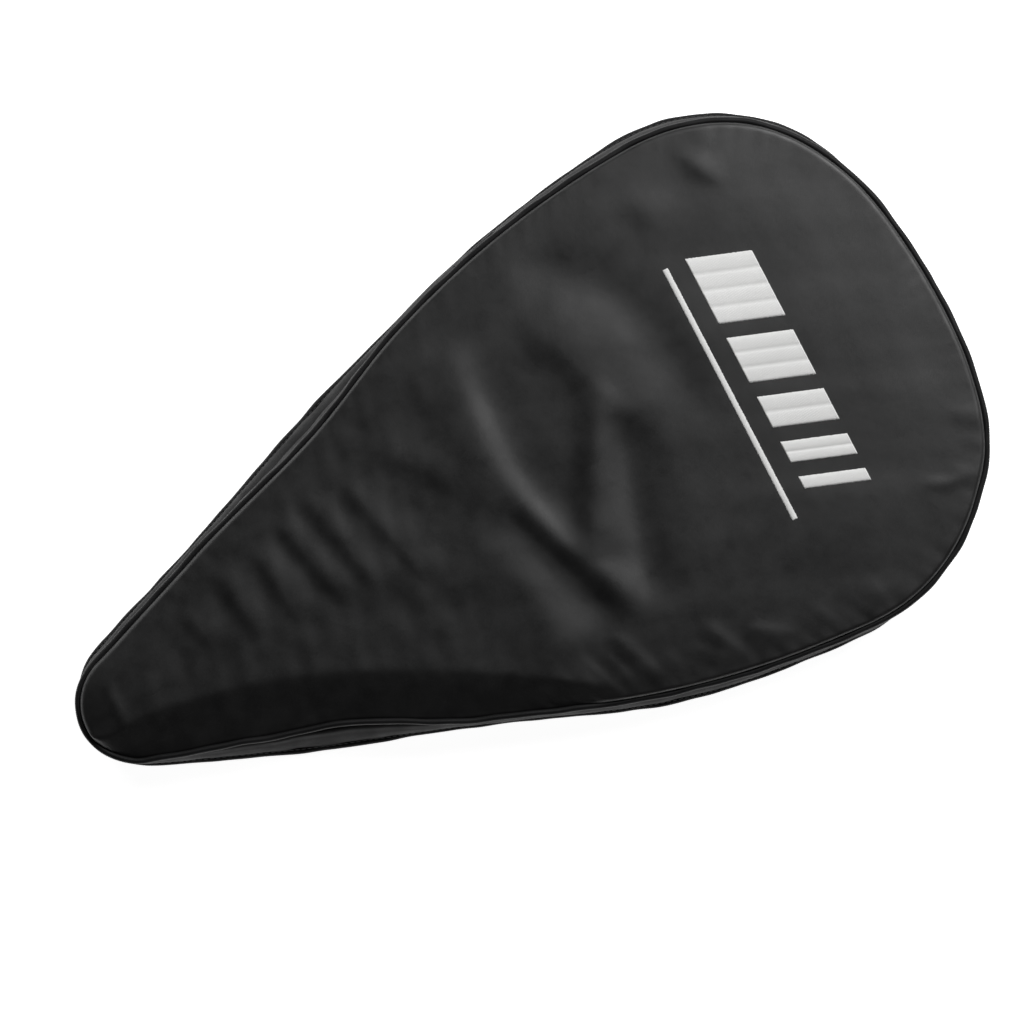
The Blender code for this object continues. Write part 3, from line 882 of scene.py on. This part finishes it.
def make_wall_layers():
    """Foam, lining and bindings inside the wall."""
    foam = strip_piece("gusset_foam", lap_of(4.0), round_strip(4.1, 1.8, 6.6, 19.8, 0.8), True)
    finish_piece(foam, FOAM, "base", "padding_foam", "gusset_padding")
    lining = strip_piece("gusset_lining_cloth", lap_of(3.0), round_strip(7.35, 0.6, 6.5, 27.6), True,
                         0.12, 81)
    finish_piece(lining, LINING_WALL, "base", "lining_cloth", "gusset_lining")
    low = strip_piece("back_binding", lap_of(3.0), round_strip(8.5, 0.9, 6.6, 12.0, 0.4), True, 0.15, 82)
    finish_piece(low, BINDING, "base", "binding_tape", "back_seam_binding")
    high = strip_piece("front_binding", lap_of(3.0), round_strip(7.3, 0.95, 34.0, 37.6, 0.4), True,
                       0.08, 83)
    finish_piece(high, BINDING, "lid", "binding_tape", "front_seam_binding")


make_wall_layers()


COIL_PITCH = 1.7
COIL_WIRE = 0.36
COIL_MIDDLE = TEETH_INSET + 0.85
COIL_STEPS = 8
COIL_BITE = (0.2, 2.9)
TAPE_THICKNESS = 0.55


def make_coil(name, start, end, low, high, phase):
    """A row of zip teeth: one nylon wire wound in flat loops."""
    turns = np.arange(round((end - start) / COIL_PITCH) * COIL_STEPS + 1) / COIL_STEPS
    across, up = np.cos(turns * 2 * math.pi), np.sin(turns * 2 * math.pi)
    inset = COIL_MIDDLE + 0.5 * np.abs(across) ** 0.6 * np.sign(across)
    z = (low + high) / 2 + ((high - low) / 2 - COIL_WIRE) * np.abs(up) ** 0.6 * np.sign(up)
    path = wall(start + (turns + phase) * COIL_PITCH, inset, z) / MM
    side = np.cross(directions(path), (0.31, 0.17, 0.93))
    side /= np.linalg.norm(side, axis=1)[:, None]
    corners, faces = rod(path, side, (COIL_WIRE, COIL_WIRE), 6)
    return mesh_object(name, corners * MM, faces)


def make_zip():
    """Tapes and coils on both sides, the end stops and the cloth tabs over the tapes' ends."""
    near, far = COIL_BITE
    section = round_strip(TAPE_INSET, TAPE_THICKNESS, 20.2, ZIP_Z - 0.9, 0.2)
    tape = strip_piece("base_tape", lap_of(2.5, TAB_TO, ZIP_END), section, False)
    finish_piece(tape, TAPE, "base", "zip_tape", "base_zip_tape")
    section = round_strip(TAPE_INSET, TAPE_THICKNESS, ZIP_Z + 0.9, 37.7, 0.2)
    tape = strip_piece("front_tape", lap_of(2.5, TAB_TO - 12, ZIP_END + 8), section, False)
    finish_piece(tape, TAPE, "lid", "zip_tape", "front_zip_tape")
    coil = make_coil("base_coil", BASE_TEETH_FROM, ZIP_END, ZIP_Z - far, ZIP_Z - near, 0.0)
    finish_piece(coil, COIL, "base", "zip_coil", "base_zip_teeth")
    coil = make_coil("front_coil", LID_TEETH_FROM, ZIP_END, ZIP_Z + near, ZIP_Z + far, 0.5)
    finish_piece(coil, COIL, "lid", "zip_coil", "front_zip_teeth")
    section = round_strip(TEETH_INSET - 0.1, 1.8, ZIP_Z - 3.1, ZIP_Z - 0.4, 0.5)
    for name, node, start in (("closed_stop", "zip_stop_closed", BASE_TEETH_FROM - 5),
                              ("open_stop", "zip_stop_open", ZIP_END + 1)):
        stop = strip_piece(name, lap_of(0.5, start, start + 3), section, False)
        finish_piece(stop, METAL, "base", "zip_metal", node)
    section = round_strip(TEETH_INSET - 0.5, 0.9, 25.6, ZIP_Z - 0.3, 0.35)
    for name, node, start, end in (("shoulder_tab", "zip_tab_shoulder", HINGE_TO + 2, TAB_TO),
                                   ("tip_tab", "zip_tab_tip", ZIP_END + 5 - LAP, HINGE_FROM - 1)):
        tab = strip_piece(name, lap_of(1.0, start, end), section, False)
        finish_piece(tab, NYLON_WALL_PAINTED_LIGHT, "base", "nylon_shell", node)


make_zip()

SPINE_Z = (20.6, 36.9)


def make_spine():
    """The unzipped stretch: cloth that runs from the base up to the lid along the hinged flank."""
    runs = lap_of(2.0, HINGE_FROM - 3, HINGE_TO + 8)
    share = np.linspace(0, 1, 26)
    z = SPINE_Z[0] + (SPINE_Z[1] - SPINE_Z[0]) * share
    middle = np.sin(share * math.pi)
    pucker = np.clip(ring_waves(runs, 16.0, 91), -1, 1.5)[:, None]
    seams = np.exp(-share / 0.14) + np.exp(-(1 - share) / 0.14)
    tucked = np.exp(-np.minimum(runs - runs[0], runs[-1] - runs) / 2.5)[:, None]
    inset = WALL_INSET - 0.9 - 0.5 * middle + 1.0 * share ** 3 + 0.2 * pucker * seams
    inset = inset + 0.25 * ring_waves(runs, 45.0, 92)[:, None] * middle + 1.3 * tucked
    outer, heights = np.broadcast_arrays(inset, z)
    strip = swept("spine_cloth", runs, *sheet_section(outer, heights, CLOTH_THICKNESS), False)
    finish_piece(strip, NYLON_WALL_PAINTED_LIGHT, None, "nylon_shell", "spine_strip")
    x, y = wall(np.array(HINGE_MIDDLE), 2.0, np.array(ZIP_Z))[:2]
    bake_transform(strip)
    inner = strip_piece("spine_lining_cloth", runs, round_strip(7.35, 0.6, 27.8, 34.4), False)
    finish_piece(inner, LINING_WALL, None, "lining_cloth", "spine_lining")
    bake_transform(inner)


make_spine()


# ---------------------------------------------------------------- slider and pull

PIVOT = wall(np.array(SLIDER_AT), BAR_INSET, np.array(ZIP_Z))
OUTWARD = rim(np.array(SLIDER_AT))[1]
TO_HEAD = np.array((OUTWARD[1], -OUTWARD[0]))


def by_slider(points):
    """Turn (towards the head, outward, up) in millimetres from the pull's pivot into the frame."""
    points = np.asarray(points, float)
    plan = points[..., :1] * TO_HEAD + points[..., 1:2] * OUTWARD
    return PIVOT + np.concatenate((plan, points[..., 2:]), -1) * MM


def taken_from(mesh):
    """Corners and faces of a working mesh, which is freed."""
    mesh.verts.index_update()
    corners = [tuple(corner.co) for corner in mesh.verts]
    faces = [[corner.index for corner in face.verts] for face in mesh.faces]
    mesh.free()
    return corners, faces


def stamped(outline, near, far, bevel):
    """Corners and faces of a plate cut to `outline` (along, up), between two depths, edges eased."""
    mesh = bmesh.new()
    front = [mesh.verts.new((a, near, z)) for a, z in outline]
    back = [mesh.verts.new((a, far, z)) for a, z in outline]
    mesh.faces.new(front)
    mesh.faces.new(back[::-1])
    for index in range(len(outline)):
        mesh.faces.new((front[index], front[index - 1], back[index - 1], back[index]))
    rims = [edge for edge in mesh.edges if (edge.verts[0] in front) == (edge.verts[1] in front)]
    bmesh.ops.bevel(mesh, geom=rims, offset=bevel, segments=3, profile=0.5, affect="EDGES")
    return taken_from(mesh)


def rounded(points, radius, steps=5):
    """A polygon's corners rounded off."""
    result = []
    points = [np.array(point, float) for point in points]
    for index, corner in enumerate(points):
        before, after = points[index - 1] - corner, points[(index + 1) % len(points)] - corner
        reach = min(radius, np.hypot(*before) / 2.1, np.hypot(*after) / 2.1)
        start, end = (corner + way / np.hypot(*way) * reach for way in (before, after))
        for share in np.linspace(0, 1, steps):
            result.append(start * (1 - share) ** 2 + 2 * corner * share * (1 - share) + end * share ** 2)
    return result


def joined(name, *parts):
    """One object out of several (corners, faces) in the slider's frame."""
    corners, faces = [], []
    for some, around in parts:
        faces += [[corner + len(corners) for corner in face] for face in around]
        corners += list(map(tuple, some))
    return mesh_object(name, by_slider(corners), faces)


def make_slider():
    """The slider: two eased plates, the wedge between them and the bridge that holds the pull."""
    front, back = (BAR_INSET - depth for depth in OUTER_PLATE)
    near, far = (BAR_INSET - depth for depth in INNER_PLATE)
    shield = rounded(((-6, -2.5), (-4.4, -3.1), (1.0, -3.1), (6, -2.5), (6, 2.5), (1.0, 3.1),
                      (-4.4, 3.1), (-6, 2.5)), 1.6)
    behind = rounded(((-5.8, -2.1), (-4.4, -2.7), (1.0, -2.7), (5.8, -2.1), (5.8, 1.7), (1.0, 2.1),
                      (-4.4, 2.1), (-5.8, 1.7)), 1.4)
    between = rounded(((-6, -0.1), (2.0, -0.14), (5.5, 0), (2.0, 0.14), (-6, 0.1)), 0.3)
    raised = rounded(((-4.6, -1.2), (-3.2, -1.6), (-3.2, 1.6), (-4.6, 1.2)), 0.5)
    turn = np.linspace(0, math.pi / 2, 7)
    top = [(0, front - 0.5, 2.5)]
    top += [(0, -0.9 + 0.9 * math.sin(angle), 1.6 + 0.9 * math.cos(angle)) for angle in turn]
    path = np.array(top + [(0, 0, z) for z in (0.8, 0, -0.8)] + [(0, o, -z) for a, o, z in top[::-1]])
    bridge = rod(path, np.broadcast_to((1.0, 0, 0), path.shape), (0.62, 0.4), 12)
    slider = joined("slider_cast", stamped(shield, front, back, 0.32), stamped(behind, near, far, 0.25),
                    stamped(between, back + 0.1, near - 0.1, 0.03), bridge,
                    stamped(raised, front + 0.35, front - 0.2, 0.15))
    finish_piece(slider, METAL, "slider", "zip_metal", "zip_slider")


PULL_LENGTH = 26.0
EYE_RADIUS = 1.25
EYE_HOLE = 0.8
BLADE_HALF = 0.55
GRIP_FROM = 13.0
GRIP_LENGTH = 15.0
GRIP_HALF_HEIGHT = 2.59
GRIP_HALF_DEPTH = 1.5
GRIP_SQUARENESS = 3.4
RIBS = (0.24, 0.84)
RIB_PITCH = 0.1
GRIP_SIDES = 28


def make_blade():
    """The stamped tab that hangs on the slider's bridge by its eye."""
    gap = math.asin(BLADE_HALF / EYE_RADIUS)
    around = np.linspace(gap, 2 * math.pi - gap, 27)
    behind = np.linspace(-gap, gap, 7)[1:-1]
    stations = np.array((2.2, 3.4, 5.0, 7.0, 9.0, 11.0, 12.5, 16.0, 22.0, PULL_LENGTH))
    mesh = bmesh.new()

    def half_height(a):
        return 1.5 - 0.45 * math.exp(-((a - 6.0) / 3.0) ** 2)

    def level(side):
        def corner(a, o):
            return mesh.verts.new((a, o, side * half_height(a)))
        ring = [corner(EYE_RADIUS * math.cos(turn), EYE_RADIUS * math.sin(turn)) for turn in around]
        hole = [corner(EYE_HOLE * math.cos(turn), EYE_HOLE * math.sin(turn)) for turn in around]
        throat = [corner(EYE_HOLE * math.cos(turn), EYE_HOLE * math.sin(turn)) for turn in behind]
        left = [corner(a, BLADE_HALF) for a in stations]
        right = [corner(a, -BLADE_HALF) for a in stations]
        for index in range(len(ring) - 1):
            mesh.faces.new((ring[index], ring[index + 1], hole[index + 1], hole[index]))
        mesh.faces.new([ring[-1], right[0], left[0], ring[0], hole[0]] + throat[::-1] + [hole[-1]])
        for index in range(len(stations) - 1):
            mesh.faces.new((left[index], left[index + 1], right[index + 1], right[index]))
        return ring + right + left[::-1], hole + throat

    for lower, upper in zip(level(-1), level(1)):
        for index in range(len(lower)):
            mesh.faces.new((lower[index - 1], lower[index], upper[index], upper[index - 1]))
    bmesh.ops.recalc_face_normals(mesh, faces=mesh.faces)
    sharp = [edge for edge in mesh.edges if edge.calc_face_angle(0) > 1.0]
    bmesh.ops.bevel(mesh, geom=sharp, offset=0.12, segments=2, profile=0.5, affect="EDGES")
    finish_piece(joined("pull_blade", taken_from(mesh)), METAL, "pull", "zip_metal", "pull_tab")


def make_grip():
    """The ribbed grip moulded over the tab's end."""
    way = np.linspace(0, 1, 91)[:, None]
    ends = np.clip(np.minimum(way * GRIP_LENGTH / 1.4, (1 - way) * GRIP_LENGTH / 2.0), 0, 1)
    ends = np.sqrt(1 - (1 - ends) ** 2)
    waist = 1 - 0.16 * (1 - way) ** 2
    ribbed = np.clip(np.minimum(way - RIBS[0], RIBS[1] - way) / 0.03, 0, 1)
    rib = 1 - 0.13 * ribbed * (0.5 - 0.5 * np.cos(2 * math.pi * (way - RIBS[0]) / RIB_PITCH))
    turns = np.linspace(0, 2 * math.pi, GRIP_SIDES, endpoint=False)[None]
    power = GRIP_SQUARENESS
    squared = 1 / (np.abs(np.cos(turns)) ** power + np.abs(np.sin(turns)) ** power) ** (1 / power)
    tall = GRIP_HALF_HEIGHT * ends * waist * squared * np.cos(turns)
    deep = GRIP_HALF_DEPTH * (0.25 + 0.75 * ends) * rib * squared * np.sin(turns)
    rows = np.stack((GRIP_FROM + GRIP_LENGTH * way + 0 * tall, deep, tall), -1)
    faces = quads(len(way), GRIP_SIDES, False, True) + caps(len(way), GRIP_SIDES)
    grip = joined("moulded_grip", (rows.reshape(-1, 3), faces))
    finish_piece(grip, RUBBER, "pull", "pull_rubber", "pull_grip")


make_slider()
make_blade()
make_grip()


# ---------------------------------------------------------------- stitches

STITCH_LENGTH = 2.3
STITCH_RADIUS = 0.2


def stitch_row(name, runs, inset, z, body):
    """A row of stitches lying along the case: a rounded grain of thread at each of `runs`."""
    along = np.array((-0.5, -0.38, 0.0, 0.38, 0.5)) * STITCH_LENGTH
    radius = np.array((0.25, 0.8, 1.0, 0.8, 0.25))[:, None] * STITCH_RADIUS
    turns = np.linspace(0, 2 * math.pi, 6, endpoint=False)
    way = runs[:, None, None] + along[None, :, None] + 0 * turns
    points = wall(way, inset + radius * np.cos(turns), z + 1.3 * radius * np.sin(turns))
    count, rings, sides = points.shape[:3]
    one = np.array(quads(rings, sides, False, True)), np.array(caps(rings, sides))
    faces = []
    for first in range(0, count * rings * sides, rings * sides):
        for part in one:
            faces += (part + first).tolist()
    finish_piece(mesh_object(name, points.reshape(-1, 3), faces), THREAD, body, "binding_tape")


STITCH = 3.2


def make_stitching():
    """Rows of stitches along the wall's seams, the tape and the bindings."""
    lap = lap_of(STITCH)
    stitch_row("stitches_wall_low", lap, WALL_INSET - 1.55, 7.2, "base")
    stitch_row("stitches_back_binding", lap, 9.45, 9.3, "base")
    stitch_row("stitches_front_binding", lap, 8.3, 35.6, "lid")
    zipped = lap_of(STITCH, TAB_TO, ZIP_END)
    stitch_row("stitches_front_tape", zipped, TAPE_INSET - 0.1, 36.0, "lid")


make_stitching()


# ---------------------------------------------------------------- camera, light, floor

def area_light(name, place, target, size, power):
    """A square soft light at `place` aimed at `target`, in metres."""
    data = bpy.data.lights.new(name, "AREA")
    data.shape = "SQUARE"
    data.size = size
    data.energy = power
    lamp = bpy.data.objects.new(name, data)
    lamp.location = place
    lamp.rotation_euler = (Vector(target) - Vector(place)).to_track_quat("-Z", "Y").to_euler()
    bpy.context.collection.objects.link(lamp)


LENS = 300.0
SENSOR = 36.0
VIEW_WIDTH = 0.5305
VIEW_MIDDLE = (0.0003, -0.0019)
CAMERA_TURN = math.radians(-27.5)
FLOOR_HALF = 6.0
FLOOR_GAP = 0.0002


def make_studio():
    """Camera straight above the case, a white floor, a key light from the head side and soft fill."""
    camera = bpy.data.objects.new("camera", bpy.data.cameras.new("camera"))
    camera.data.lens = LENS
    camera.data.sensor_width = SENSOR
    camera.data.clip_end = 50
    camera.location = (*VIEW_MIDDLE, FRONT_SEAM_Z * MM + VIEW_WIDTH * LENS / SENSOR)
    camera.rotation_euler = (0, 0, CAMERA_TURN)
    bpy.context.collection.objects.link(camera)
    bpy.context.scene.camera = camera

    plan = FLOOR_HALF * np.array(((-1, -1, 0), (1, -1, 0), (1, 1, 0), (-1, 1, 0)))
    floor = mesh_object("floor", plan, [(0, 1, 2, 3)])
    floor.location.z = -FLOOR_GAP
    finish, tree, main = shader("floor", (0.9, 0.9, 0.9), 0.9)
    main.inputs["Emission Color"].default_value = (1, 1, 1, 1)
    main.inputs["Emission Strength"].default_value = 0.95
    floor.data.materials.append(finish)

    area_light("key", place=(1.00, 0.44, 1.12), target=(0.05, 0, 0.03), size=0.86, power=21)
    area_light("fill", place=(-0.35, 0.9, 0.35), target=(-0.05, 0.05, 0.03), size=0.5, power=2)
    world = bpy.data.worlds.new("studio")
    world.use_nodes = True
    world.node_tree.nodes["Background"].inputs["Color"].default_value = (1, 1, 1, 1)
    world.node_tree.nodes["Background"].inputs["Strength"].default_value = 0.03
    bpy.context.scene.world = world
    bpy.context.scene.view_settings.view_transform = "Standard"


make_studio()
